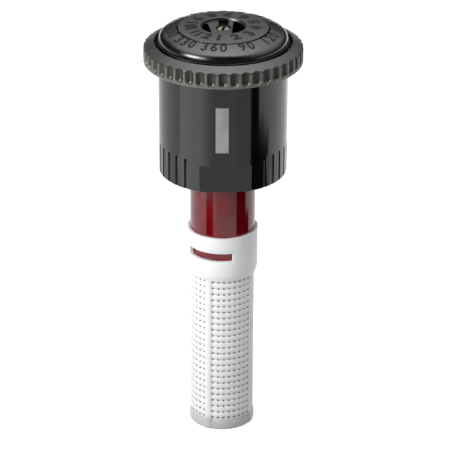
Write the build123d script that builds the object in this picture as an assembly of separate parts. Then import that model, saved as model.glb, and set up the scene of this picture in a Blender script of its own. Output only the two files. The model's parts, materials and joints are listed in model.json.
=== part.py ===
from build123d import *
import math
import os

# A rotating multi-stream nozzle for a pop-up sprinkler, in millimetres, +Z up.
# The origin is on the axis, in the plane of the body's bottom rim, where the riser's thread begins.
# Bearings are angles about the axis, counted from the front (-Y) towards +X.

# Body: the fixed shell that screws on the riser
BODY_R_BOTTOM = 12.0
BODY_R = 12.08
BODY_TOP = 23.05
BODY_BORE_R = 10.2
SLEEVE_BORE_R = 10.92
SLEEVE_BORE_Z = 20.8
SOCKET_R = 7.94  # major radius of the 5/8"-28 female riser thread
SOCKET_DEPTH = 9.5
WEB_TOP = 11.0
BODY_TURN = 2.7  # bearing of the front wrench flat
FLAT_DISTANCE = 11.0
FLAT_TOP = 5.3
GROOVE_TOP = 6.15
GROOVE_WIDTH = 0.64
GROOVE_DEPTH = 0.5
GROOVE_FIRST = 37.5
GROOVE_STEP = 10.5
GROOVES_PER_SIDE = 11
MARK_LOW, MARK_HIGH, MARK_WIDTH = 8.18, 17.07, 2.4
MARK_BEARING = -0.6
MARK_DEPTH = 0.2

# Arc ring: the knurled collar that a hand turns
RING_R = 14.8
RING_BOTTOM = 21.8
RING_EDGE_Z = 24.65
RING_LIP_R, RING_LIP_Z = 13.05, 25.72
SKIRT_BORE_R = 12.14
RING_WEB_LOW, RING_WEB_HIGH = 23.1, 24.1
SLEEVE_R, SLEEVE_INNER_R, SLEEVE_LOW = 10.85, 10.0, 21.0
FLUTES = 44
FLUTE_R = 0.95
FLUTE_CENTRE_R = 15.18
FLUTE_LOW, FLUTE_HIGH = 22.92, 24.28
KEYS = 6
KEY_WIDTH, KEY_R = 2.0, 10.6
KEY_LOW, KEY_HIGH = 21.2, 22.3

# Arc nozzle and its fixed hub, which close the annular outlet with one sector each
NOZZLE_R = 9.95
NOZZLE_LOW, NOZZLE_HIGH = 15.0, 22.4
THROAT_R, THROAT_TOP = 5.4, 17.0
HUB_R = 4.3
HUB_LOW, HUB_TOP = 12.4, 17.0
HUB_RIM_R, HUB_RIM_INNER_R, HUB_RIM_TOP = 10.15, 8.2, 14.2
SPOKES = 6
SECTOR = 150.0
HUB_SECTOR_BEARING = 180.0
NOZZLE_SECTOR_BEARING = 60.0
NOZZLE_SEAL_R, NOZZLE_SEAL_WIRE = 9.2, 0.38

# Inlet stem, filter and throttle
STEM_R = 6.18
STEM_BORE_R = 4.9
COLLAR_TOP = -11.7
COLLAR_R = 6.7
COLLAR_BORE_R = 6.0
STEM_SPIGOT_R = 5.96
STEM_END = -19.6
COLLAR_STRAIGHT_END, COLLAR_END = -19.5, -20.8
LEG_END, LEG_INNER_R, LEG_R, LEG_WIDTH = -34.0, 3.7, 5.2, 2.0
KEYWAY_R, KEYWAY_WIDTH, KEYWAY_LOW = 5.35, 1.6, -10.0
FILTER_R = 6.3
FILTER_PANEL_R = 6.08
FILTER_BORE_R = 5.3
FILTER_SHOULDER, FILTER_BOTTOM, FILTER_FLOOR = -19.9, -52.74, -51.4
FILTER_TURN = -26.0  # bearing of the first upright rib
FILTER_RIBS = 4
FILTER_RIB_SECTOR = 14.0
SLOTS = 24
SLOT_FIRST, SLOT_PITCH, SLOT_HEIGHT = -21.19, 1.26, 0.6
WINDOW_LOW, WINDOW_HIGH = -16.5, -14.8
WINDOW_BEARING, WINDOW_SECTOR = -24.5, 84.6
SEAT_HOLE_R, SEAT_LOW, SEAT_HIGH = 3.2, -18.6, -16.6
NUT_LOW, NUT_HIGH, NUT_R = -31.0, -28.0, 4.4

# Shaft, spring and brake
SHAFT_R, SHAFT_TOP, SHAFT_END = 1.2, 28.0, -33.0
RUNNING = 0.02  # radial clearance of every plain bearing
THREAD_TOP, THREAD_PITCH, THREAD_DEPTH = -25.4, 0.8, 0.26
CLIP_Z, CLIP_THICK = -8.6, 0.5
SPRING_SEAT_TOP = -7.4
SPRING_SEAT_R = 4.6
SPRING_R, SPRING_WIRE, SPRING_TURNS = 3.4, 0.3, 7.0
BUSH_R = 2.2
BEARING_R = 2.0
STATOR_R, STATOR_LOW, STATOR_HIGH = 6.6, 21.9, 24.5

# Deflector and its cap: the turning head
DEFLECTOR_LOW, DEFLECTOR_FOOT_R = 17.2, 4.6
CONE_R, CONE_TOP = 9.8, 24.4
DEFLECTOR_LIP_R, LIP_LOW, LIP_HIGH = 12.25, 25.2, 25.7
HEAD_R, SHOULDER_Z, SHOULDER_ROUND = 12.0, 26.87, 1.5
CUP_R, CUP_TOP, CUP_LEDGE = 8.62, 28.18, 26.8
CHAMBER_R, CHAMBER_LOW, PLUG_BORE_R, PLUG_LOW = 6.9, 21.5, 7.25, 24.9
SEAL_POCKET_R, SEAL_LOW, SEAL_HIGH = 3.2, 19.9, 21.4
CHANNELS = 15
CHANNEL_RADII = (0.5, 0.44, 0.38)
CAP_R, CAP_EDGE_Z, CAP_CROWN_Z = 8.4, 28.3, 28.6
POCKET_R, POCKET_FLOOR_R, POCKET_Z = 4.25, 4.1, 28.15
CHANNEL_WIDTH, CHANNEL_DEPTH = 1.9, 0.5
CAVITY_R, CAVITY_LOW = 4.02, 25.5
CAVITY_LEDGE, CAVITY_RELIEF = 27.75, 0.55
BOSS_R, BOSS_TOP = 2.35, 26.9


def outline(*steps):
    """A closed face in (radius, height). A point ends a line; two points end an arc through the first."""
    edges, last = [], steps[0]
    for step in steps[1:] + (steps[0],):
        if isinstance(step[0], tuple):
            edges.append(ThreePointArc(last, *step))
            last = step[1]
        else:
            edges.append(Line(last, step))
            last = step
    return make_face(edges)


def turned(*steps, rounds=()):
    """A solid of revolution about Z, with each (corner, radius) in rounds rounded off."""
    face = outline(*steps)
    for corner, radius in rounds:
        face = fillet(face.vertices().sort_by_distance(corner)[0], radius)
    return revolve(Plane.XZ * face, Axis.Z)


def tube(r_in, r_out, low, high):
    return turned((r_in, low), (r_out, low), (r_out, high), (r_in, high))


def sector(r_in, r_out, low, high, bearing, width):
    """A piece of a tube that spans width degrees, centred on a bearing."""
    face = outline((r_in, low), (r_out, low), (r_out, high), (r_in, high))
    return Rot(0, 0, bearing - 90 - width / 2) * revolve(Plane.XZ * face, Axis.Z, width)


def at_bearing(bearing, shape):
    """A shape drawn on +X, turned to a bearing."""
    return Rot(0, 0, bearing - 90) * shape


def bar(r_in, r_out, width, low, high):
    """A block along +X from r_in to r_out, as wide as width."""
    middle = ((r_in + r_out) / 2, 0, (low + high) / 2)
    return Pos(*middle) * Box(r_out - r_in, width, high - low)


def ring_of(count, shape, start=0.0):
    """Copies of a shape drawn on +X, evenly spaced about the axis."""
    return [at_bearing(start + 360 * i / count, shape) for i in range(count)]


def o_ring(radius, wire, height):
    return Pos(0, 0, height) * Torus(radius, wire)


def index_mark_blank():
    width = math.degrees(MARK_WIDTH / BODY_R)
    return sector(BODY_R - MARK_DEPTH, BODY_R + 1, MARK_LOW, MARK_HIGH, MARK_BEARING, width)


def body_shell():
    """The outside of the body as a plain turned solid, with its bores."""
    return turned(
        (SOCKET_R + 0.5, 0),
        (BODY_R_BOTTOM, 0),
        (BODY_R, SLEEVE_BORE_Z),
        (BODY_R, BODY_TOP),
        (SLEEVE_BORE_R, BODY_TOP),
        (SLEEVE_BORE_R, SLEEVE_BORE_Z),
        (BODY_BORE_R, SLEEVE_BORE_Z),
        (BODY_BORE_R, WEB_TOP),
        (STEM_R + 1.1, WEB_TOP),
        (STEM_R + 1.1, WEB_TOP - 1),
        (STEM_R + 0.03, WEB_TOP - 1),
        (STEM_R + 0.03, SOCKET_DEPTH),
        (SOCKET_R, SOCKET_DEPTH),
        (SOCKET_R, 0.5),
        rounds=[((BODY_R_BOTTOM, 0), 0.3), ((BODY_R, BODY_TOP), 0.2)],
    )


def body():
    """The shell, with two wrench flats, finger grooves between them and a pocket for the index mark."""
    flat = Pos(FLAT_DISTANCE + 2, 0, FLAT_TOP / 2 - 0.5) * Box(4, 24, FLAT_TOP + 1)
    groove_axis = BODY_R + GROOVE_WIDTH / 2 - GROOVE_DEPTH
    straight = bar(groove_axis, BODY_R + 1, GROOVE_WIDTH, -1, GROOVE_TOP - GROOVE_WIDTH / 2)
    straight += Pos(groove_axis, 0, (GROOVE_TOP - 1) / 2) * Cylinder(GROOVE_WIDTH / 2, GROOVE_TOP + 1)
    dome = Pos(BODY_R, 0, GROOVE_TOP - GROOVE_WIDTH / 2) * Rot(0, 90, 0) * Cylinder(GROOVE_WIDTH / 2, 1.2)
    groove = (straight - bar(0, 20, 5, GROOVE_TOP - GROOVE_WIDTH / 2, 20)) + dome
    cuts = [at_bearing(BODY_TURN + side, flat) for side in (0, 180)]
    for side in (0, 180):
        for i in range(GROOVES_PER_SIDE):
            cuts.append(at_bearing(BODY_TURN + side + GROOVE_FIRST + i * GROOVE_STEP, groove))
    return body_shell() - cuts - index_mark_blank()


def index_mark():
    """The coloured inlay in the body's side. Its face is flush with the shell."""
    return index_mark_blank() & body_shell()


def arc_ring():
    """The knurled ring: a skirt outside the body's wall, a web over it and a keyed sleeve inside it."""
    ring = turned(
        (SKIRT_BORE_R, RING_BOTTOM),
        (RING_R, RING_BOTTOM),
        (RING_R, RING_EDGE_Z),
        (RING_LIP_R, RING_LIP_Z),
        (RING_LIP_R - 0.25, RING_LIP_Z - 0.15),
        (RING_LIP_R - 0.35, RING_WEB_HIGH + 0.5),
        (RING_LIP_R - 0.9, RING_WEB_HIGH),
        (SLEEVE_INNER_R + 0.2, RING_WEB_HIGH),
        (SLEEVE_INNER_R, NOZZLE_HIGH + 0.2),
        (SLEEVE_INNER_R, SLEEVE_LOW),
        (SLEEVE_R, SLEEVE_LOW),
        (SLEEVE_R, RING_WEB_LOW),
        (SKIRT_BORE_R, RING_WEB_LOW),
        rounds=[
            ((RING_R, RING_BOTTOM), 0.12),
            ((RING_R, RING_EDGE_Z), 0.2),
            ((RING_LIP_R, RING_LIP_Z), 0.12),
        ],
    )
    flute = Pos(0, 0, (FLUTE_LOW + FLUTE_HIGH) / 2) * Cylinder(FLUTE_R, FLUTE_HIGH - FLUTE_LOW)
    for end in (FLUTE_LOW, FLUTE_HIGH):
        flute += Pos(0, 0, end) * Sphere(FLUTE_R)
    flute = Pos(FLUTE_CENTRE_R, 0, 0) * flute
    notch = bar(SLEEVE_INNER_R - 1, KEY_R + 0.05, KEY_WIDTH + 0.1, SLEEVE_LOW - 1, KEY_HIGH + 0.1)
    return ring - ring_of(FLUTES, flute) - ring_of(KEYS, notch)


def arc_nozzle():
    """The turning half of the outlet: a funnel with a sector that covers part of its throat."""
    funnel = turned(
        (THROAT_R, NOZZLE_LOW),
        (NOZZLE_R, NOZZLE_LOW),
        (NOZZLE_R, NOZZLE_HIGH),
        (NOZZLE_R - 0.4, NOZZLE_HIGH),
        ((7.5, 19.35), (THROAT_R + 0.8, THROAT_TOP + 0.3)),
        (THROAT_R, THROAT_TOP),
    )
    cover = sector(HUB_R + 0.05, THROAT_R + 0.2, 16.0, 16.9, NOZZLE_SECTOR_BEARING, SECTOR)
    key = bar(NOZZLE_R - 0.3, KEY_R, KEY_WIDTH, KEY_LOW, KEY_HIGH)
    return funnel + cover + ring_of(KEYS, key)


def nozzle_hub():
    """The fixed half of the outlet: a spoked plate with a tube that guides the shaft."""
    hub = turned(
        (1.5, HUB_LOW),
        (HUB_R, HUB_LOW),
        (HUB_R, HUB_TOP),
        (BUSH_R, HUB_TOP),
        (BUSH_R, HUB_LOW + 0.3),
        (1.5, HUB_LOW + 0.3),
    )
    rim = tube(HUB_RIM_INNER_R, HUB_RIM_R, HUB_LOW, HUB_RIM_TOP)
    spoke = bar(HUB_R - 0.4, HUB_RIM_INNER_R + 0.4, 1.2, HUB_LOW, HUB_RIM_TOP - 0.2)
    cover = sector(HUB_R - 0.3, THROAT_R - 0.05, 15.1, 15.9, HUB_SECTOR_BEARING, SECTOR)
    return hub + rim + ring_of(SPOKES, spoke) + cover


def inlet_stem():
    """The tube that water comes up, with a spigot for the filter, keyways and two legs at the nut."""
    tube_wall = turned(
        (STEM_BORE_R, STEM_END),
        (STEM_SPIGOT_R, STEM_END),
        (STEM_SPIGOT_R, COLLAR_TOP),
        (STEM_R, COLLAR_TOP),
        (STEM_R, WEB_TOP),
        (HUB_RIM_R, WEB_TOP),
        (HUB_RIM_R, HUB_LOW),
        (HUB_RIM_INNER_R - 0.4, HUB_LOW),
        (STEM_BORE_R, WEB_TOP + 0.2),
        rounds=[((STEM_SPIGOT_R, STEM_END), 0.3)],
    )
    keyway = bar(0, KEYWAY_R, KEYWAY_WIDTH, KEYWAY_LOW, HUB_LOW + 1)
    leg = bar(LEG_INNER_R, LEG_R, LEG_WIDTH, LEG_END, SEAT_LOW)
    leg &= tube(LEG_INNER_R, LEG_R, LEG_END, SEAT_LOW)
    return tube_wall - ring_of(2, keyway) + ring_of(2, leg, start=90)


def strainer_slots():
    """The horizontal slots between the upright ribs, as one cutter for each panel and height."""
    panel = 360 / FILTER_RIBS - FILTER_RIB_SECTOR
    for side in range(FILTER_RIBS):
        bearing = FILTER_TURN + (side + 0.5) * 360 / FILTER_RIBS
        for i in range(SLOTS):
            middle = SLOT_FIRST - i * SLOT_PITCH
            low, high = middle - SLOT_HEIGHT / 2, middle + SLOT_HEIGHT / 2
            yield sector(FILTER_BORE_R - 0.5, FILTER_R + 0.5, low, high, bearing, panel - 3)


def filter_basket():
    """The strainer: a collar over the stem's spigot, four upright ribs and slotted panels between."""
    basket = turned(
        (0, FILTER_BOTTOM),
        (FILTER_R, FILTER_BOTTOM),
        (FILTER_R, COLLAR_END),
        (COLLAR_R, COLLAR_STRAIGHT_END),
        (COLLAR_R, COLLAR_TOP),
        (COLLAR_BORE_R, COLLAR_TOP),
        (COLLAR_BORE_R, FILTER_SHOULDER),
        (FILTER_BORE_R, FILTER_SHOULDER),
        (FILTER_BORE_R, FILTER_FLOOR),
        (0, FILTER_FLOOR),
        rounds=[((FILTER_R, FILTER_BOTTOM), 0.45), ((COLLAR_R, COLLAR_TOP), 0.15)],
    )
    panel = 360 / FILTER_RIBS - FILTER_RIB_SECTOR
    face_low = SLOT_FIRST - (SLOTS - 1) * SLOT_PITCH - 1.1
    face = sector(FILTER_PANEL_R, COLLAR_R + 1, face_low, COLLAR_END, 90, panel)
    faces = ring_of(FILTER_RIBS, face, start=FILTER_TURN + 180 / FILTER_RIBS)
    window = sector(COLLAR_BORE_R - 0.5, COLLAR_R + 1, WINDOW_LOW, WINDOW_HIGH, 90, WINDOW_SECTOR)
    return basket - faces - ring_of(2, window, start=WINDOW_BEARING) - list(strainer_slots())


def throttle_seat():
    """The ring inside the stem's end that the nut closes against."""
    return turned(
        (SEAT_HOLE_R + 0.5, SEAT_LOW),
        (STEM_BORE_R, SEAT_LOW),
        (STEM_BORE_R, SEAT_HIGH),
        (SEAT_HOLE_R, SEAT_HIGH),
        (SEAT_HOLE_R, SEAT_LOW + 0.5),
    )


def throttle_nut():
    """The nut that rides the shaft's thread. Its two notches slide on the stem's legs."""
    nut = turned(
        (SHAFT_R + RUNNING, NUT_LOW),
        (NUT_R, NUT_LOW),
        (NUT_R, NUT_HIGH - 0.4),
        (NUT_R - 0.4, NUT_HIGH),
        (2.9, NUT_HIGH),
        (2.3, NUT_HIGH + 0.9),
        (SHAFT_R + RUNNING, NUT_HIGH + 0.9),
    )
    notch = bar(LEG_INNER_R - 0.15, NUT_R + 1, LEG_WIDTH + 0.3, NUT_LOW - 1, NUT_HIGH + 1)
    return nut - ring_of(2, notch, start=90)


def radius_shaft():
    """The steel shaft: a screwdriver slot on top, a groove for the clip and a thread at its lower end."""
    threads = round((THREAD_TOP - SHAFT_END - 0.6) / THREAD_PITCH)
    thread = []
    for i in range(threads):
        root = SHAFT_END + 0.6 + (i + 0.5) * THREAD_PITCH
        thread.append((SHAFT_R, root - THREAD_PITCH / 2 + 0.08))
        thread.append((SHAFT_R - THREAD_DEPTH, root))
        thread.append((SHAFT_R, root + THREAD_PITCH / 2 - 0.08))
    shaft = turned(
        (0, SHAFT_END),
        (SHAFT_R - 0.3, SHAFT_END),
        (SHAFT_R, SHAFT_END + 0.3),
        *thread,
        (SHAFT_R, CLIP_Z - CLIP_THICK),
        (SHAFT_R - 0.3, CLIP_Z - CLIP_THICK),
        (SHAFT_R - 0.3, CLIP_Z),
        (SHAFT_R, CLIP_Z),
        (SHAFT_R, SHAFT_TOP - 0.15),
        (SHAFT_R - 0.15, SHAFT_TOP),
        (0, SHAFT_TOP),
    )
    slot = Pos(0, 0, SHAFT_TOP) * Box(4, 0.55, 1.8)
    return shaft - at_bearing(-11, slot)


def spring_clip():
    """An open retaining clip in the shaft's groove."""
    clip = tube(SHAFT_R - 0.3, 2.3, CLIP_Z - CLIP_THICK, CLIP_Z)
    return clip - bar(0, 3, 1.7, CLIP_Z - 1, CLIP_Z + 1)


def spring_seat():
    """The carrier under the spring, keyed to the stem so that the spring isn't wound up."""
    low = CLIP_Z + 0.02
    seat = turned(
        (SHAFT_R + RUNNING, low),
        (SPRING_SEAT_R, low),
        (SPRING_SEAT_R, SPRING_SEAT_TOP),
        (2.6, SPRING_SEAT_TOP),
        (2.4, SPRING_SEAT_TOP + 1.6),
        (SHAFT_R + RUNNING, SPRING_SEAT_TOP + 1.6),
    )
    key = bar(SPRING_SEAT_R - 0.4, KEYWAY_R - 0.08, KEYWAY_WIDTH - 0.16, low, SPRING_SEAT_TOP)
    port = Pos(3.55, 0, low) * Cylinder(0.7, 4)
    return seat + ring_of(2, key) - ring_of(6, port, start=15)


def return_spring():
    """The coil that pulls the head down. It pushes up on the hub and down on its seat."""
    clearance = SPRING_WIRE + 0.02
    height = HUB_LOW - SPRING_SEAT_TOP - 2 * clearance
    path = Pos(0, 0, SPRING_SEAT_TOP + clearance) * Helix(height / SPRING_TURNS, height, SPRING_R)
    section = Plane(origin=path @ 0, z_dir=path % 0) * Circle(SPRING_WIRE)
    return sweep(section, path=path, is_frenet=True)


def shaft_bush():
    return tube(SHAFT_R + RUNNING, BUSH_R, HUB_LOW + 0.3, HUB_TOP)


def lower_bearing():
    return tube(SHAFT_R + RUNNING, BEARING_R, DEFLECTOR_LOW + 0.1, SEAL_LOW - 0.3)


def upper_bearing():
    return tube(SHAFT_R + RUNNING, BEARING_R - 0.1, PLUG_LOW + 0.1, BOSS_TOP - 0.3)


def shaft_seal():
    """A lip seal in the floor of the brake chamber."""
    return turned(
        (SHAFT_R + 0.05, SEAL_LOW),
        (SEAL_POCKET_R, SEAL_LOW),
        (SEAL_POCKET_R, SEAL_HIGH),
        (SEAL_POCKET_R - 0.5, SEAL_HIGH),
        (SEAL_POCKET_R - 0.6, SEAL_LOW + 0.5),
        (SHAFT_R + 0.6, SEAL_LOW + 0.5),
        (SHAFT_R + 0.4, SEAL_HIGH - 0.1),
        (SHAFT_R + 0.05, SEAL_HIGH - 0.2),
    )


def brake_stator():
    """The disc that stays still in the chamber's thick fluid. Its holes let the fluid pass."""
    disc = tube(SHAFT_R, STATOR_R, STATOR_LOW + 0.6, STATOR_HIGH - 0.6)
    disc += tube(SHAFT_R, 2.4, STATOR_LOW, STATOR_HIGH)
    hole = Pos(4.5, 0, STATOR_LOW) * Cylinder(0.9, 6)
    return disc - ring_of(6, hole)


def stream_channel(radius):
    """One groove up the cone and out under the lip, beside the axis so that the water turns the head."""
    slope = math.atan2(CONE_TOP - DEFLECTOR_LOW, CONE_R - DEFLECTOR_FOOT_R)
    start = (DEFLECTOR_FOOT_R - math.cos(slope), DEFLECTOR_LOW - math.sin(slope))
    bend = (CONE_R - 1.1 * math.cos(slope), CONE_TOP - 1.1 * math.sin(slope))
    path = FilletPolyline(start, bend, (DEFLECTOR_LIP_R + 1, LIP_LOW + 0.35), radius=1.6)
    path = Plane.XZ * path
    section = Plane(origin=path @ 0, z_dir=path % 0) * Circle(radius)
    return Pos(0, 1.1, 0) * sweep(section, path=path)


def deflector():
    """The head: a grooved cone below, a lip, a shouldered dome above and the brake chamber inside."""
    head = turned(
        (BEARING_R, DEFLECTOR_LOW),
        (DEFLECTOR_FOOT_R, DEFLECTOR_LOW),
        (CONE_R, CONE_TOP),
        (DEFLECTOR_LIP_R, LIP_LOW),
        (DEFLECTOR_LIP_R, LIP_HIGH),
        (HEAD_R + 0.04, LIP_HIGH + 0.05),
        (HEAD_R, SHOULDER_Z),
        ((10.1, 27.76), (CUP_R, CUP_TOP)),
        (CUP_R, CUP_LEDGE),
        (PLUG_BORE_R, CUP_LEDGE),
        (PLUG_BORE_R, PLUG_LOW),
        (CHAMBER_R, PLUG_LOW),
        (CHAMBER_R, CHAMBER_LOW),
        (SEAL_POCKET_R, CHAMBER_LOW),
        (SEAL_POCKET_R, SEAL_LOW),
        (BEARING_R, SEAL_LOW),
        rounds=[
            ((DEFLECTOR_LIP_R, LIP_HIGH), 0.15),
            ((HEAD_R, SHOULDER_Z), SHOULDER_ROUND),
            ((CUP_R, CUP_TOP), 0.1),
        ],
    )
    cuts = []
    for kind, radius in enumerate(CHANNEL_RADII):
        step = 360 / CHANNELS
        cuts += ring_of(CHANNELS // len(CHANNEL_RADII), stream_channel(radius), start=kind * step)
    return head - cuts


def cavity(edge, lean):
    """A D-shaped well beside the bridge, wider below a thin ledge. Its straight side leans a little."""
    pieces = []
    for relief, low, high in ((CAVITY_RELIEF, CAVITY_LOW, CAVITY_LEDGE), (0, CAVITY_LEDGE, POCKET_Z + 1)):
        straight = Pos(edge - relief / 2 + 5, 0) * Rot(0, 0, lean) * Rectangle(10, 12)
        face = Circle(CAVITY_R + relief) & straight
        face = fillet(face.vertices(), 0.35)
        pieces.append(Pos(0, 0, low) * extrude(face, high - low))
    return pieces[0] + pieces[1]


def rotor_cap():
    """The cap that closes the brake chamber, with a bridge over the shaft and a well on each side."""
    groove_low, groove_high, groove_r = PLUG_LOW + 0.5, PLUG_LOW + 1.5, 6.3
    cap = turned(
        (BEARING_R - 0.1, PLUG_LOW),
        (PLUG_BORE_R - 0.05, PLUG_LOW),
        (PLUG_BORE_R - 0.05, groove_low),
        (groove_r, groove_low),
        (groove_r, groove_high),
        (PLUG_BORE_R - 0.05, groove_high),
        (PLUG_BORE_R - 0.05, CUP_LEDGE),
        (CAP_R, CUP_LEDGE),
        (CAP_R, CAP_EDGE_Z),
        ((6.5, 28.5), (POCKET_R, CAP_CROWN_Z)),
        (POCKET_FLOOR_R, POCKET_Z),
        (SHAFT_R + 0.2, POCKET_Z),
        (SHAFT_R + 0.2, BOSS_TOP - 0.3),
        (BEARING_R - 0.1, BOSS_TOP - 0.3),
        rounds=[((CAP_R, CAP_EDGE_Z), 0.1), ((POCKET_R, CAP_CROWN_Z), 0.12)],
    )
    boss = Pos(0, 0, (CAVITY_LOW + BOSS_TOP) / 2) * Cylinder(BOSS_R, BOSS_TOP - CAVITY_LOW)
    right = cavity(1.67, -3)
    left = Rot(0, 0, 180) * cavity(2.6, 9)
    channel = bar(0, POCKET_FLOOR_R, CHANNEL_WIDTH, POCKET_Z - CHANNEL_DEPTH, POCKET_Z + 0.1)
    return cap - (right - boss) - (left - boss) - at_bearing(180, channel)


NODES = {
    "body": body,
    "index_mark": index_mark,
    "arc_ring": arc_ring,
    "arc_nozzle": arc_nozzle,
    "nozzle_hub": nozzle_hub,
    "nozzle_seal": lambda: o_ring(NOZZLE_SEAL_R, NOZZLE_SEAL_WIRE, (HUB_RIM_TOP + NOZZLE_LOW) / 2),
    "inlet_stem": inlet_stem,
    "stem_seal": lambda: o_ring(STEM_R + 0.57, 0.5, WEB_TOP - 0.5),
    "filter": filter_basket,
    "throttle_seat": throttle_seat,
    "throttle_nut": throttle_nut,
    "radius_shaft": radius_shaft,
    "shaft_bush": shaft_bush,
    "spring_clip": spring_clip,
    "spring_seat": spring_seat,
    "return_spring": return_spring,
    "deflector": deflector,
    "rotor_cap": rotor_cap,
    "cap_o_ring": lambda: o_ring(6.78, 0.45, PLUG_LOW + 1.0),
    "brake_stator": brake_stator,
    "upper_bearing": upper_bearing,
    "lower_bearing": lower_bearing,
    "shaft_seal": shaft_seal,
}

os.makedirs("parts", exist_ok=True)
for name, make in NODES.items():
    export_step(make(), f"parts/{name}.step")
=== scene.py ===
import json
import math

import bmesh
import bpy
from mathutils import Matrix, Vector


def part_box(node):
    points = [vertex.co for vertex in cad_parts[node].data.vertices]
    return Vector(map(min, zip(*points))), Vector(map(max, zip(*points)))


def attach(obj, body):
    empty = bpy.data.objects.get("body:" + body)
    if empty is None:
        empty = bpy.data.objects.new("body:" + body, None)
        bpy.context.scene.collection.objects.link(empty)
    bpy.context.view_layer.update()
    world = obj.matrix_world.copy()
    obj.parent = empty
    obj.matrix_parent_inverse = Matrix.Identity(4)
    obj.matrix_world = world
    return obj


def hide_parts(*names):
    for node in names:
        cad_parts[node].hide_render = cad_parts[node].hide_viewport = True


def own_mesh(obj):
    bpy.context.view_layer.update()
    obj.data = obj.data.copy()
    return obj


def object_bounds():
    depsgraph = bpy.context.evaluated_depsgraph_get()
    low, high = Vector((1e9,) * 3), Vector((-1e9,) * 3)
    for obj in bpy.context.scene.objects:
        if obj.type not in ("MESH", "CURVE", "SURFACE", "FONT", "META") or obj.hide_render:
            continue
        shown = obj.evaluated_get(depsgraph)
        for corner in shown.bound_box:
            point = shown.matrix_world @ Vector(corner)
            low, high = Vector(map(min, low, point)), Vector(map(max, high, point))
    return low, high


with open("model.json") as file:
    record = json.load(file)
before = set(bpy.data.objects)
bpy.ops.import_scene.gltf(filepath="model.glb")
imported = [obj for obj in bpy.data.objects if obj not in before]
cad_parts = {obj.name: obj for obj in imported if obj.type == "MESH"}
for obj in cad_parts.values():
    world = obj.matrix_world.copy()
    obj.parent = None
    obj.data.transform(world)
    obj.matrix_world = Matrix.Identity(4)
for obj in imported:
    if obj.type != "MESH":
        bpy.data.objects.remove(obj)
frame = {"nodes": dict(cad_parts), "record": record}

# A rotating sprinkler nozzle in a studio. Lengths are in metres. Bearings are angles about the nozzle's axis,
# counted from the front (-Y) towards +X, in degrees.

MM = 0.001
cad_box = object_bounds()

# Camera: a long lens that looks along +Y and down on the nozzle
CAMERA_TARGET = (0.66 * MM, 0.0, -12.0 * MM)
CAMERA_DISTANCE = 0.532
CAMERA_ELEVATION = 24.74
CAMERA_ROLL = 0.3
CAMERA_LENS, CAMERA_SENSOR = 223.0, 36.0

# Filter basket: what the CAD box doesn't say
FILTER_FIRST_RIB = -26.0
FILTER_RIBS = 4
FILTER_RIB_SECTOR = 14.0
RIB_EDGE_DROP = 0.7
FILTER_SLOTS = 24
SLOT_FIRST, SLOT_PITCH, SLOT_OPEN = -21.19 * MM, 1.26 * MM, 0.3 * MM
BORE_R, MESH_R, COLLAR_BORE_R = 5.3 * MM, 5.93 * MM, 6.0 * MM
BAND_R, FILTER_R = 6.2 * MM, 6.3 * MM
# A rib between two slots, from the slot's edge to the rib's middle: inset from the edge and radius
CROSS_RIB = [(0.0, 5.96 * MM), (0.07 * MM, 6.0 * MM), (0.2 * MM, 6.05 * MM), (0.48 * MM, 6.08 * MM)]
LOWEST_RIB = 0.9 * MM
MESH_RIBS_PER_PANEL = 7
MESH_RIB_SECTOR = 6.7
SHOULDER_Z, FLOOR_Z = -19.9 * MM, -51.4 * MM
COLLAR_STRAIGHT_Z, COLLAR_CHAMFER_Z = -19.5 * MM, -20.8 * MM
WINDOW_LOW, WINDOW_HIGH = -16.5 * MM, -14.8 * MM
WINDOW_BEARING, WINDOW_SECTOR = -24.5, 84.6
BASE_ROUND, TOP_CHAMFER = 0.45 * MM, 0.15 * MM
STEP = 0.02 * MM  # the least step between two surfaces or two heights

# Riser thread, 5/8-28
THREAD_MAJOR_R, THREAD_MINOR_R, THREAD_PITCH = 7.94 * MM, 7.45 * MM, 0.907 * MM
THREAD_START, THREAD_TURNS, THREAD_FADE = 0.9 * MM, 8.6, 0.35
THREAD_FOOT, THREAD_CREST = 0.46, 0.07

# Return spring, from the hub down to the carriage
SPRING_R, SPRING_WIRE, SPRING_TURNS = 3.4 * MM, 0.3 * MM, 7.0

# Numbers round the head, laid over its surface
DOME_DIAL = {"radius": 9.75 * MM, "size": 2.8 * MM, "stroke": 0.06 * MM}
CAP_DIAL = {"radius": 6.15 * MM, "size": 3.0 * MM, "stroke": 0.16 * MM}
DOME_START, CAP_START = 26.0, -8.0
DIAL_RELIEF, DIAL_STRIP, STRIPS_EACH_WAY = 0.03 * MM, 0.25 * MM, 5
LETTER_SPACING = 0.62

# Studio: cards on the floor that the gloss reflects, as name, radiance, radii in metres and bearings
CARDS = [
    ("left_edge", 1.2, 0.112, 0.26, -150, -80),
    ("left", 2.2, 0.112, 0.26, -80, -38),
    ("left_fade_1", 1.9, 0.112, 0.26, -38, -32),
    ("left_fade_2", 1.55, 0.112, 0.26, -32, -26),
    ("left_fade_3", 1.2, 0.112, 0.26, -26, -20),
    ("front", 0.95, 0.103, 0.26, -20, 25),
    ("front_right", 0.85, 0.103, 0.26, 25, 49),
    ("far_front", 0.0, 0.26, 1.5, -84, 60),
    ("right_far", 0.0, 0.165, 0.26, 49, 65),
    ("right_upper", 0.0, 0.157, 0.165, 49, 76),
    ("right_middle", 0.0, 0.138, 0.157, 49, 87),
    ("right_lower", 0.0, 0.103, 0.138, 49, 86),
    ("stem", 1.35, 0.084, 0.103, -33, 48),
    ("stem_left", 0.0, 0.084, 0.12, -58, -33),
    ("stem_right", 0.0, 0.084, 0.103, 48, 101),
]
FLOOR_HALF, FLOOR_CARD_RADIANCE = 6.0, 1.4

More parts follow.
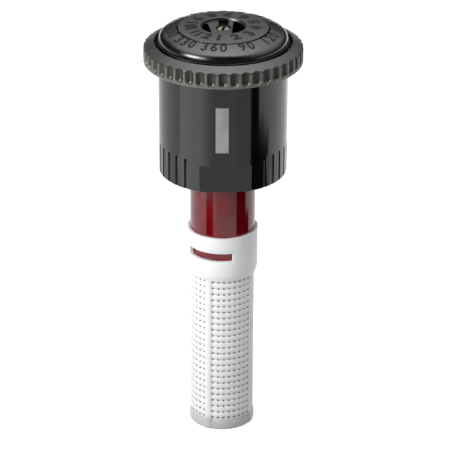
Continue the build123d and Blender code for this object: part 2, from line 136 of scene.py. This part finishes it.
# Soft boxes, as name, bearing, elevation, distance, size and radiance, and what they light
LIGHTS = [
    ("key_box", -52, 22, 0.4, (0.26, 0.2), 9.0, "both"),
    ("left_fill", -70, 0, 0.5, (0.3, 0.4), 1.3, "diffuse"),
    ("front_fill", 25, 66, 0.5, (0.25, 0.25), 2.0, "diffuse"),
    ("roll_box", -55, 24, 0.39, (0.12, 0.12), 24.0, "gloss"),
    ("top_box", 180, 82, 0.6, (0.3, 0.3), 4.0, "diffuse"),
]

# World: its radiance for diffuse surfaces, and for gloss at the horizon and what it gains overhead
AMBIENT = 0.45
HORIZON_RADIANCE, OVERHEAD_GAIN, OVERHEAD_POWER = 0.8, 5.0, 4.0
# How it fades for gloss: each is two values of a component of the direction, and the factors there
FRONT_FADE = (-0.6, -0.2, 0.03, 1)
RIGHT_OPENING = (0.5, 0.9, 0, 1.5)
LEFT_FADE = (-0.55, -0.25, 0.1, 1)
LEFT_OPENING = (0.55, 0.72, 0, 1)
HORIZON_FADE = (0.2, 0.5, 0.1, 1)


def on_axis(radius, bearing, z):
    """The point at a radius, a bearing and a height."""
    a = math.radians(bearing)
    return Vector((radius * math.sin(a), -radius * math.cos(a), z))


# Materials


class Graph:
    """A material with its Principled shader, and short ways to add nodes to it."""

    def __init__(self, name, **sockets):
        self.material = bpy.data.materials.new(name)
        self.material.use_nodes = True
        self.tree = self.material.node_tree
        self.shader = self.tree.nodes["Principled BSDF"]
        self.place = self.add("ShaderNodeTexCoord").outputs["Object"]
        for socket, value in sockets.items():
            self.shader.inputs[socket.replace("_", " ")].default_value = value

    def add(self, kind, links=(), **settings):
        node = self.tree.nodes.new(kind)
        for key, value in settings.items():
            if key in node.inputs:
                node.inputs[key].default_value = value
            else:
                setattr(node, key, value)
        for socket, source in dict(links).items():
            self.tree.links.new(source, node.inputs[socket])
        return node

    def noise(self, scale, detail=3.0, stretch=(1, 1, 1)):
        """Noise with features about 1 / scale metres across, stretched along each axis."""
        scaled = self.add("ShaderNodeVectorMath", {0: self.place}, operation="MULTIPLY")
        scaled.inputs[1].default_value = stretch
        node = self.add("ShaderNodeTexNoise", {"Vector": scaled.outputs[0]}, Scale=scale, Detail=detail)
        return node.outputs["Fac"]

    def remap(self, source, low, high, start=0.3, end=0.7):
        """source from start to end, mapped to low to high."""
        node = self.add("ShaderNodeMapRange", {"Value": source})
        for key, value in zip(("From Min", "From Max", "To Min", "To Max"), (start, end, low, high)):
            node.inputs[key].default_value = value
        return node.outputs["Result"]

    def mix(self, factor, a, b):
        """Colour a where factor is 0 and b where it is 1. Each is a colour or a node's output."""
        node = self.add("ShaderNodeMix", {"Factor": factor}, data_type="RGBA")
        for socket, value in ((node.inputs[6], a), (node.inputs[7], b)):
            if isinstance(value, bpy.types.NodeSocket):
                self.tree.links.new(value, socket)
            else:
                socket.default_value = (*value, 1)
        return node.outputs[2]

    def times(self, a, b):
        return self.add("ShaderNodeMath", {0: a, 1: b}, operation="MULTIPLY").outputs[0]

    def bump(self, height, distance, normal=None):
        links = {"Height": height}
        if normal is not None:
            links["Normal"] = normal
        return self.add("ShaderNodeBump", links, Distance=distance, Strength=1.0).outputs["Normal"]

    def set(self, **links):
        for socket, source in links.items():
            self.tree.links.new(source, self.shader.inputs[socket.replace("_", " ")])


def shade(colour, factor):
    return tuple(min(1.0, c * factor) for c in colour)


def moulded(name, colour, roughness, grain=6e-6, swell=1.2e-5, scuffs=0.08, mottle=0.18, rim_highlight=None, painted_shade=(),
            **sockets):
    """Moulded plastic: a fine eroded grain, faint mottling, and scuffs that show in the gloss.

    rim is a painted highlight: a paler colour for what lies outside RIM_R and below RIM_Z, on the knurl's
    ridges.
    stain is painted shade, a list of ((low, high), share): at the low height and below, that share of the
    colour is lost. The last of them takes the same share of the gloss.
    """
    g = Graph(name, **sockets)
    fine = g.noise(5200, 3)
    smear = g.noise(900, 5, (1, 1, 0.12))
    tone = g.mix(g.remap(g.noise(260, 4), 0, 1), shade(colour, 1 - mottle), shade(colour, 1 + mottle))
    # Painted shade: the colour darkens, and the gloss dulls, at and below each given height.
    for (start, end), share in painted_shade:
        height = g.add("ShaderNodeSeparateXYZ", {0: g.place}).outputs[2]
        tone = g.mix(g.remap(height, share, 0, start, end), tone, (0, 0, 0))
        g.set(Specular_IOR_Level=g.remap(height, 0.5 - 0.5 * share, 0.5, start, end))
    # Painted highlight: the knurl's ridges and lower lip are painted paler, broken by fine noise.
    if rim_highlight is not None:
        flat = g.add("ShaderNodeVectorMath", {0: g.place}, operation="MULTIPLY")
        flat.inputs[1].default_value = (1, 1, 0)
        radius = g.add("ShaderNodeVectorMath", {0: flat.outputs[0]}, operation="LENGTH").outputs["Value"]
        height = g.add("ShaderNodeSeparateXYZ", {0: g.place}).outputs[2]
        outside = g.times(g.remap(radius, 0, 1, *RIM_R), g.remap(height, 1, 0, *RIM_Z))
        rim_highlight_mask = g.times(outside, g.remap(fine, 0.6, 1))
        tone = g.mix(rim_highlight_mask, tone, rim_highlight)
    g.set(Base_Color=tone, Roughness=g.remap(smear, roughness - scuffs / 2, roughness + scuffs, 0.35, 0.75))
    g.set(Normal=g.bump(fine, grain, g.bump(g.noise(420, 2), swell)))
    return g.material


def steel(name, colour, roughness, stretch):
    """Drawn or turned metal, with fine lines across the stretch."""
    g = Graph(name, Metallic=1.0)
    lines = g.noise(2600, 6, stretch)
    g.set(
        Base_Color=g.mix(g.remap(lines, 0, 1), shade(colour, 0.75), shade(colour, 1.1)),
        Roughness=g.remap(lines, roughness - 0.08, roughness + 0.12),
        Normal=g.bump(lines, 4e-6),
    )
    return g.material


def rubber(name, colour):
    g = Graph(name, Specular_IOR_Level=0.35)
    bloom = g.noise(700, 4)
    g.set(
        Base_Color=g.mix(g.remap(bloom, 0, 1), colour, shade(colour, 1.9)),
        Roughness=g.remap(bloom, 0.55, 0.75),
        Normal=g.bump(g.noise(6500, 2), 8e-6),
    )
    return g.material


BLACK = (0.003, 0.0031, 0.0042)
# Where the ring's painted highlight lies: outside this radius span and below this height span.
RIM_R, RIM_Z = (14.45 * MM, 14.75 * MM), (24.35 * MM, 24.6 * MM)
MATERIALS = {
    "shell_plastic": moulded("shell_plastic", BLACK, 0.11, grain=2e-6, swell=3e-6, scuffs=0.05, IOR=1.5),
    # The knurl's ridges are painted paler: a painted highlight where they catch the light.
    "ring_plastic": moulded(
        "ring_plastic", (0.012, 0.0115, 0.0095), 0.4, grain=9e-6, rim_highlight=(0.13, 0.128, 0.112)),
    # Painted shade: the head's lip under the shoulder is darkened and dulled, where the ring shades it.
    "head_plastic": moulded("head_plastic", BLACK, 0.2, grain=5e-6, painted_shade=[((25.8 * MM, 25.86 * MM), 0.65)]),
    # Painted shade: the cap's wells are darkened and dulled below the bridge floor, where they lie deep in
    # shade.
    "cap_plastic": moulded(
        "cap_plastic", (0.009, 0.009, 0.0095), 0.36, grain=9e-6, painted_shade=[((28.1 * MM, 28.14 * MM), 0.85)]),
    "nozzle_plastic": moulded("nozzle_plastic", BLACK, 0.35),
    "hub_plastic": moulded("hub_plastic", (0.004, 0.004, 0.0045), 0.6, Specular_IOR_Level=0.12),
    "mark_ink": moulded("mark_ink", (0.25, 0.25, 0.255), 0.5, grain=4e-6),
    "stem_plastic": moulded("stem_plastic", (0.14, 0.0012, 0.004), 0.07, grain=1e-6, swell=3e-6, scuffs=0.05),
    # Painted shade: the strainer grows darker from -24 mm down to -50 mm, and darker again on its base band,
    # where less light falls.
    "filter_plastic": moulded(
        "filter_plastic", (0.79, 0.798, 0.81), 0.42, grain=8e-6, mottle=0.03,
        painted_shade=[((-50 * MM, -24 * MM), 0.16), ((-50.7 * MM, -49.9 * MM), 0.33)],
        Subsurface_Weight=0.15, Subsurface_Scale=0.6 * MM, Subsurface_Radius=(1.0, 0.95, 0.9),
    ),
    "nut_plastic": moulded("nut_plastic", (0.7, 0.68, 0.62), 0.4),
    "bearing_plastic": moulded("bearing_plastic", (0.72, 0.68, 0.56), 0.4),
    "shaft_steel": steel("shaft_steel", (0.34, 0.33, 0.24), 0.3, (1, 1, 0.05)),
    "spring_steel": steel("spring_steel", (0.6, 0.6, 0.6), 0.25, (1, 1, 0.3)),
    "seal_rubber": rubber("seal_rubber", (0.012, 0.012, 0.012)),
    "seat_rubber": rubber("seat_rubber", (0.016, 0.016, 0.016)),
}
SLOT_OF = {s["node"]: s["material_slot"] for s in frame["record"]["subparts"]}
for node, obj in frame["nodes"].items():
    for material_slot in obj.material_slots:
        material_slot.material = MATERIALS[SLOT_OF[node]]


# Mesh pieces


def piece(name, mesh, body, material_slot, *nodes):
    """A new piece of the object: it rides on a body, takes a slot's material and may stand for CAD nodes."""
    obj = bpy.data.objects.new(name, mesh)
    bpy.context.scene.collection.objects.link(obj)
    if not mesh.materials:
        mesh.materials.append(MATERIALS[material_slot])
    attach(obj, body)
    if nodes:
        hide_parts(*nodes)
    return obj


def smooth_by_angle(mesh, degrees):
    """Smooth shading, apart from edges sharper than that many degrees."""
    for polygon in mesh.polygons:
        polygon.use_smooth = True
    mesh.set_sharp_from_angle(angle=math.radians(degrees))


def apply_modifiers(obj):
    """The object's mesh becomes what its modifiers make of it."""
    evaluated = obj.evaluated_get(bpy.context.evaluated_depsgraph_get())
    mesh = bpy.data.meshes.new_from_object(evaluated)
    obj.modifiers.clear()
    obj.data = mesh
    return mesh


def steps(low, high, count):
    return [low + (high - low) * i / count for i in range(count + 1)]


def filter_angles():
    """The bearings that bound the basket's cells, with what each cell is: main rib, mesh rib or gap."""
    panel = 360 / FILTER_RIBS - FILTER_RIB_SECTOR
    gap = (panel - MESH_RIBS_PER_PANEL * MESH_RIB_SECTOR) / (MESH_RIBS_PER_PANEL + 1)
    half_gap = ("gap", gap / 2)
    mesh = [half_gap, half_gap, ("mesh", MESH_RIB_SECTOR)] * MESH_RIBS_PER_PANEL + [half_gap, half_gap]
    cells = ([("main", FILTER_RIB_SECTOR / 4)] * 4 + mesh) * FILTER_RIBS
    bearing = FILTER_FIRST_RIB - FILTER_RIB_SECTOR / 2
    found = []
    for kind, width in cells:
        found.append((bearing, kind))
        bearing += width
    return found


def filter_heights():
    """The heights that bound the basket's cells, from the bottom up.

    Each is the height, what the cell above it is, and the panel's radius.
    """
    low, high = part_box("filter")[0].z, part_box("filter")[1].z
    top = CROSS_RIB[-1][1]
    half = SLOT_OPEN / 2
    rows = [(low + BASE_ROUND * (1 - math.cos(a)), "floor", BAND_R) for a in steps(0, math.pi / 2, 5)]
    rows.append((FLOOR_Z, "band", BAND_R))
    last = SLOT_FIRST - (FILTER_SLOTS - 1) * SLOT_PITCH
    lowest = last - half - LOWEST_RIB
    rows += [(lowest, "panel", BAND_R), (lowest + STEP, "panel", top)]
    for i in reversed(range(FILTER_SLOTS)):
        middle = SLOT_FIRST - i * SLOT_PITCH
        rows += [(middle - half - inset, "panel", r) for inset, r in reversed(CROSS_RIB[1:-1])]
        rows.append((middle - half, "slot", CROSS_RIB[0][1]))
        rows += [(middle + half + inset, "panel", r) for inset, r in CROSS_RIB]
    rows = [r for r in rows if r[0] < COLLAR_CHAMFER_Z - STEP]
    rows += [(COLLAR_CHAMFER_Z, "chamfer", top), (SHOULDER_Z, "collar", top)]
    rows.append((COLLAR_STRAIGHT_Z, "collar", top))
    rows += [(WINDOW_LOW, "window", top), (WINDOW_HIGH, "collar", top)]
    return rows + [(high - TOP_CHAMFER, "collar", top), (high, "end", top)]


def filter_mesh():
    """The strainer, as cells bounded by rings, heights and bearings.

    There is a face wherever a filled cell meets an empty one.
    """
    low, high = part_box("filter")[0].z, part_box("filter")[1].z
    collar_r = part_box("filter")[1].x
    window_edges = [WINDOW_BEARING + side + half * WINDOW_SECTOR / 2 for side in (0, 180) for half in (-1, 1)]
    cells = filter_angles()
    start = cells[0][0]
    for edge in window_edges:
        edge = start + (edge - start) % 360
        kind = [k for b, k in cells if b <= edge][-1]
        cells.append((edge, kind))
    cells.sort()
    rows = filter_heights()

    def ring_radius(ring, z, panel):
        """The radius of a ring at a height: 0 is the axis and 6 the collar's outside."""
        base = 0.0
        if z < low + BASE_ROUND:
            base = BASE_ROUND - math.sqrt(max(0.0, BASE_ROUND ** 2 - (low + BASE_ROUND - z) ** 2))
        collar = collar_r
        if z <= COLLAR_STRAIGHT_Z:
            share = max(0.0, (z - COLLAR_CHAMFER_Z) / (COLLAR_STRAIGHT_Z - COLLAR_CHAMFER_Z))
            collar = FILTER_R + STEP + share * (collar_r - FILTER_R - STEP)
        inner = min(COLLAR_BORE_R, panel - STEP)
        return (0.0, BORE_R, MESH_R, inner, panel, FILTER_R, collar)[ring] - (base if ring > 1 else 0)

    def in_window(bearing):
        off_middle = [abs((bearing - WINDOW_BEARING - side + 180) % 360 - 180) for side in (0, 180)]
        return min(off_middle) < WINDOW_SECTOR / 2

    def filled(i, j, k):
        """Whether the cell at bearing i, height j and ring k holds plastic."""
        if not (0 <= j < len(rows) - 1 and 0 <= k < 6):
            return False
        kind, part = cells[i % len(cells)][1], rows[j][1]
        if part == "floor":
            return k <= 3 or (k == 4 and kind == "main")
        if part == "band":
            return 1 <= k <= 3 or (k == 4 and kind == "main")
        if part == "chamfer":
            return k >= 1
        if part in ("collar", "window"):
            just_inside = cells[i % len(cells)][0] + 0.01
            return k >= 3 and not (part == "window" and in_window(just_inside))
        if k == 0 or k == 5:
            return False
        if kind == "main":
            return True
        if k == 1:
            return kind == "mesh"
        return k in (2, 3) and part == "panel"

    bm = bmesh.new()
    made = {}

    def corner(i, j, k):
        i %= len(cells)
        key = (0 if k == 0 else i, j, k)
        if key not in made:
            z, _, panel = rows[j]
            radius = ring_radius(k, z, panel)
            if k == 5 and (cells[i][1] == "main") != (cells[i - 1][1] == "main"):
                radius -= RIB_EDGE_DROP * (radius - ring_radius(4, z, panel))
            made[key] = bm.verts.new(on_axis(radius, cells[i][0], z))
        return made[key]

    def face(*corners):
        unique = list(dict.fromkeys(corner(*c) for c in corners))
        if len(unique) > 2:
            bm.faces.new(unique)

    for i in range(len(cells)):
        for j in range(len(rows) - 1):
            for k in range(6):
                if not filled(i, j, k):
                    continue
                n, up, out = i + 1, j + 1, k + 1
                if not filled(i - 1, j, k):
                    face((i, j, k), (i, j, out), (i, up, out), (i, up, k))
                if not filled(n, j, k):
                    face((n, j, k), (n, up, k), (n, up, out), (n, j, out))
                if not filled(i, j - 1, k):
                    face((i, j, k), (n, j, k), (n, j, out), (i, j, out))
                if not filled(i, up, k):
                    face((i, up, k), (i, up, out), (n, up, out), (n, up, k))
                if k and not filled(i, j, k - 1):
                    face((i, j, k), (i, up, k), (n, up, k), (n, j, k))
                if not filled(i, j, out):
                    face((i, j, out), (n, j, out), (n, up, out), (i, up, out))
    bmesh.ops.remove_doubles(bm, verts=bm.verts, dist=1e-7)
    bmesh.ops.recalc_face_normals(bm, faces=bm.faces)
    mesh = bpy.data.meshes.new("filter_basket")
    bm.to_mesh(mesh)
    bm.free()
    return mesh


def make_filter():
    obj = piece("filter_basket", filter_mesh(), "filter_basket", "filter_plastic", "filter")
    bevel = obj.modifiers.new("edges", "BEVEL")
    bevel.width = 0.06 * MM
    bevel.segments = 2
    bevel.limit_method = "ANGLE"
    bevel.angle_limit = math.radians(50)
    bevel.use_clamp_overlap = True
    smooth_by_angle(apply_modifiers(obj), 40)
    return obj


def thread_mesh():
    """The socket's female thread as one helical ridge that tapers away at both ends."""
    per_turn = 72
    count = int(THREAD_TURNS * per_turn)
    root = THREAD_MAJOR_R + 0.05 * MM
    bm = bmesh.new()
    rings = []
    for i in range(count + 1):
        turn = i / per_turn
        fade = min(1.0, turn / THREAD_FADE, (THREAD_TURNS - turn) / THREAD_FADE)
        z = THREAD_START + turn * THREAD_PITCH
        crest = THREAD_MAJOR_R - (THREAD_MAJOR_R - THREAD_MINOR_R) * max(0.02, fade)
        outline = [(root, -THREAD_FOOT), (crest, -THREAD_CREST), (crest, THREAD_CREST), (root, THREAD_FOOT)]
        rings.append([bm.verts.new(on_axis(r, 360 * turn, z + s * THREAD_PITCH)) for r, s in outline])
    for a, b in zip(rings, rings[1:]):
        for j in range(4):
            bm.faces.new((a[j], b[j], b[(j + 1) % 4], a[(j + 1) % 4]))
    bm.faces.new(rings[0])
    bm.faces.new(rings[-1])
    bmesh.ops.recalc_face_normals(bm, faces=bm.faces)
    mesh = bpy.data.meshes.new("riser_thread")
    bm.to_mesh(mesh)
    bm.free()
    smooth_by_angle(mesh, 30)
    return mesh


def coil_mesh(name, radius, wire, low, high, turns):
    """A round wire wound round the axis, with capped ends."""
    around, along = 12, int(turns * 40)
    bm = bmesh.new()
    rings = []
    for i in range(along + 1):
        share = i / along
        ring = []
        for j in range(around):
            a = 2 * math.pi * j / around
            z = low + (high - low) * share + wire * math.sin(a)
            ring.append(bm.verts.new(on_axis(radius + wire * math.cos(a), 360 * turns * share, z)))
        rings.append(ring)
    for a, b in zip(rings, rings[1:]):
        for j in range(around):
            bm.faces.new((a[j], a[(j + 1) % around], b[(j + 1) % around], b[j]))
    bm.faces.new(rings[0])
    bm.faces.new(rings[-1])
    bmesh.ops.recalc_face_normals(bm, faces=bm.faces)
    mesh = bpy.data.meshes.new(name)
    bm.to_mesh(mesh)
    bm.free()
    smooth_by_angle(mesh, 50)
    return mesh


def make_spring():
    low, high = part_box("return_spring")
    mesh = coil_mesh("coil", SPRING_R, SPRING_WIRE, low.z + SPRING_WIRE, high.z - SPRING_WIRE, SPRING_TURNS)
    spring = piece("coil", mesh, "root", "spring_steel", "return_spring")
    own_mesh(spring)


def character_mesh(character, size, stroke):
    """One character as a thin slab about its own middle, cut in strips so that it can bend."""
    text = bpy.data.curves.new("character", "FONT")
    text.body = character
    text.size = size
    text.offset = stroke
    text.extrude = DIAL_RELIEF
    text.resolution_u = 3
    text.align_x, text.align_y = "CENTER", "CENTER"
    holder = bpy.data.objects.new("character", text)
    bpy.context.scene.collection.objects.link(holder)
    mesh = bpy.data.meshes.new_from_object(holder.evaluated_get(bpy.context.evaluated_depsgraph_get()))
    bpy.data.objects.remove(holder)
    bm = bmesh.new()
    bm.from_mesh(mesh)
    for strip in range(-STRIPS_EACH_WAY, STRIPS_EACH_WAY + 1):
        everything = bm.verts[:] + bm.edges[:] + bm.faces[:]
        bmesh.ops.bisect_plane(bm, geom=everything, plane_co=(0, strip * DIAL_STRIP, 0), plane_no=(0, 1, 0))
    bm.to_mesh(mesh)
    bm.free()
    return mesh


def height_at(x, y):
    """The height of the object's top surface at a point seen from above."""
    start = (x, y, cad_box[1][2] + 1 * MM)
    found, place, *_ = bpy.context.scene.ray_cast(bpy.context.evaluated_depsgraph_get(), start, (0, 0, -1))
    return place.z if found else 0.0


def dial(name, labels, start, body, radius, size, stroke):
    """Numbers round the axis with their feet outwards, as slabs laid over the surface below them."""
    bm = bmesh.new()
    meshes = {}
    spacing = math.degrees(LETTER_SPACING * size / radius)
    for i, label in enumerate(labels):
        for j, character in enumerate(label):
            if character not in meshes:
                meshes[character] = character_mesh(character, size, stroke)
            bearing = start + 360 * i / len(labels) + (j - (len(label) - 1) / 2) * spacing
            turn = Matrix.Rotation(math.radians(bearing), 4, "Z")
            first = len(bm.verts)
            bm.from_mesh(meshes[character])
            bm.verts.ensure_lookup_table()
            for vert in bm.verts[first:]:
                place = turn @ Vector((vert.co.x, vert.co.y - radius, 0))
                vert.co = Vector((place.x, place.y, height_at(place.x, place.y) + vert.co.z))
    mesh = bpy.data.meshes.new(name)
    bm.to_mesh(mesh)
    bm.free()
    return piece(name, mesh, body, "hub_plastic")


make_filter()
make_spring()
piece("riser_thread", thread_mesh(), "root", "shell_plastic")
dial("dome_dial", [str(90 + 30 * i) for i in range(10)], DOME_START, "head", **DOME_DIAL)
dial("cap_dial", [str(i) for i in range(1, 13)], CAP_START, "head", **CAP_DIAL)


# Camera, lights and stage


def make_camera():
    camera = bpy.data.objects.new("camera", bpy.data.cameras.new("camera"))
    bpy.context.scene.collection.objects.link(camera)
    camera.data.lens = CAMERA_LENS
    camera.data.sensor_width = CAMERA_SENSOR
    tilt = math.radians(CAMERA_ELEVATION)
    away = Vector((0, -math.cos(tilt), math.sin(tilt)))
    roll = Matrix.Rotation(math.radians(CAMERA_ROLL), 4, "Z")
    turn = Matrix.Rotation(math.radians(90) - tilt, 4, "X") @ roll
    camera.matrix_world = Matrix.Translation(Vector(CAMERA_TARGET) + CAMERA_DISTANCE * away) @ turn
    bpy.context.scene.camera = camera


def soft_light(name, bearing, elevation, distance, size, radiance, lit):
    """A rectangular soft box that faces the nozzle. Its brightness is given as radiance."""
    data = bpy.data.lights.new(name, "AREA")
    data.shape = "RECTANGLE"
    data.size, data.size_y = size
    data.energy = radiance * math.pi * size[0] * size[1]
    light = bpy.data.objects.new(name, data)
    bpy.context.scene.collection.objects.link(light)
    lift = math.radians(elevation)
    place = on_axis(distance * math.cos(lift), bearing, distance * math.sin(lift))
    light.matrix_world = Matrix.Translation(place) @ place.to_track_quat("Z", "Y").to_matrix().to_4x4()
    light.visible_camera = False
    light.visible_glossy = lit in ("both", "gloss")
    light.visible_diffuse = lit in ("both", "diffuse")


def staged(name, mesh, material):
    obj = bpy.data.objects.new(name, mesh)
    bpy.context.scene.collection.objects.link(obj)
    mesh.materials.append(material)
    return obj


def polygon_mesh(name, points):
    mesh = bpy.data.meshes.new(name)
    mesh.from_pydata(points, [], [tuple(range(len(points)))])
    return mesh


def square_mesh(name, half, height):
    return polygon_mesh(name, [(x * half, y * half, height) for x, y in ((-1, -1), (1, -1), (1, 1), (-1, 1))])


def glow(name, radiance):
    """A lamp-like surface for the cards, with a slightly uneven paint."""
    g = Graph(name, Roughness=1.0, Specular_IOR_Level=0.0, Emission_Strength=radiance)
    g.set(Emission_Color=g.mix(g.noise(20), (1, 1, 1), (0.96, 0.96, 0.96)))
    g.shader.inputs["Base Color"].default_value = (0.002, 0.002, 0.002, 1)
    return g.material


def card(name, radiance, outline, lift=1 * MM):
    """A card on the floor that only gloss sees. Its outline is in (radius in metres, bearing)."""
    points = [on_axis(r, bearing, cad_box[0][2] + lift) for r, bearing in outline]
    obj = staged(name, polygon_mesh(name, points), glow(name, radiance))
    obj.visible_camera = False
    obj.visible_diffuse = False
    obj.visible_shadow = False
    obj.visible_transmission = False


def ring_card(name, radiance, near, far, start, end):
    bearings = steps(start, end, 12)
    card(name, radiance, [(near, b) for b in bearings] + [(far, b) for b in reversed(bearings)])


def make_stage():
    """A wide pale floor, with white and black cards round the nozzle."""
    floor = Graph("floor_paint", Roughness=0.9, Specular_IOR_Level=0.1, Emission_Strength=0.62)
    paint = floor.mix(floor.remap(floor.noise(12, 3), 0, 1), (0.62, 0.62, 0.62), (0.65, 0.65, 0.65))
    floor.set(Base_Color=paint)
    floor.shader.inputs["Emission Color"].default_value = (1, 1, 1, 1)
    floor_object = staged("floor", square_mesh("floor", FLOOR_HALF, cad_box[0][2]), floor.material)
    floor_object.visible_diffuse = False
    floor_object.visible_glossy = False
    card("card_floor", FLOOR_CARD_RADIANCE, [(FLOOR_HALF, b) for b in range(0, 360, 30)], 0.5 * MM)
    for name, radiance, near, far, start, end in CARDS:
        ring_card("card_" + name, radiance, near, far, start, end)


def make_world():
    """White to the camera and dim to diffuse surfaces. To gloss it is a bright ceiling that fades towards the
    horizon, dark in front of the nozzle and low on the left."""
    world = bpy.data.worlds.new("studio")
    bpy.context.scene.world = world
    world.use_nodes = True
    nodes, links = world.node_tree.nodes, world.node_tree.links

    def ramp(source, start, end, low, high):
        node = nodes.new("ShaderNodeMapRange")
        node.interpolation_type = "SMOOTHSTEP"
        for key, value in zip(("From Min", "From Max", "To Min", "To Max"), (start, end, low, high)):
            node.inputs[key].default_value = value
        links.new(source, node.inputs["Value"])
        return node.outputs["Result"]

    def combine(operation, a, b):
        node = nodes.new("ShaderNodeMath")
        node.operation = operation
        links.new(a, node.inputs[0])
        if isinstance(b, bpy.types.NodeSocket):
            links.new(b, node.inputs[1])
        else:
            node.inputs[1].default_value = b
        return node.outputs[0]

    def choose(factor, a, b):
        node = nodes.new("ShaderNodeMix")
        links.new(factor, node.inputs["Factor"])
        for socket, value in (("A", a), ("B", b)):
            if isinstance(value, bpy.types.NodeSocket):
                links.new(value, node.inputs[socket])
            else:
                node.inputs[socket].default_value = value
        return node.outputs["Result"]

    split = nodes.new("ShaderNodeSeparateXYZ")
    links.new(nodes.new("ShaderNodeTexCoord").outputs["Generated"], split.inputs[0])
    right, back, up = split.outputs
    overhead = combine("POWER", combine("MAXIMUM", up, 0.0), OVERHEAD_POWER)
    ceiling = combine("ADD", combine("MULTIPLY", overhead, OVERHEAD_GAIN), HORIZON_RADIANCE)
    open_side = combine("MAXIMUM", ramp(back, *FRONT_FADE), ramp(right, *RIGHT_OPENING))
    left_side = combine("MAXIMUM", ramp(right, *LEFT_FADE), ramp(up, *LEFT_OPENING))
    sides = combine("MULTIPLY", open_side, left_side)
    gloss = combine("MULTIPLY", combine("MULTIPLY", ceiling, sides), ramp(up, *HORIZON_FADE))
    path = nodes.new("ShaderNodeLightPath")
    unseen = choose(path.outputs["Is Glossy Ray"], AMBIENT, gloss)
    strength = choose(path.outputs["Is Camera Ray"], unseen, 1.0)
    background = nodes["Background"]
    background.inputs["Color"].default_value = (1, 1, 1, 1)
    links.new(strength, background.inputs["Strength"])


make_camera()
make_stage()
make_world()
for light in LIGHTS:
    soft_light(*light)
bpy.context.scene.view_settings.view_transform = "Standard"
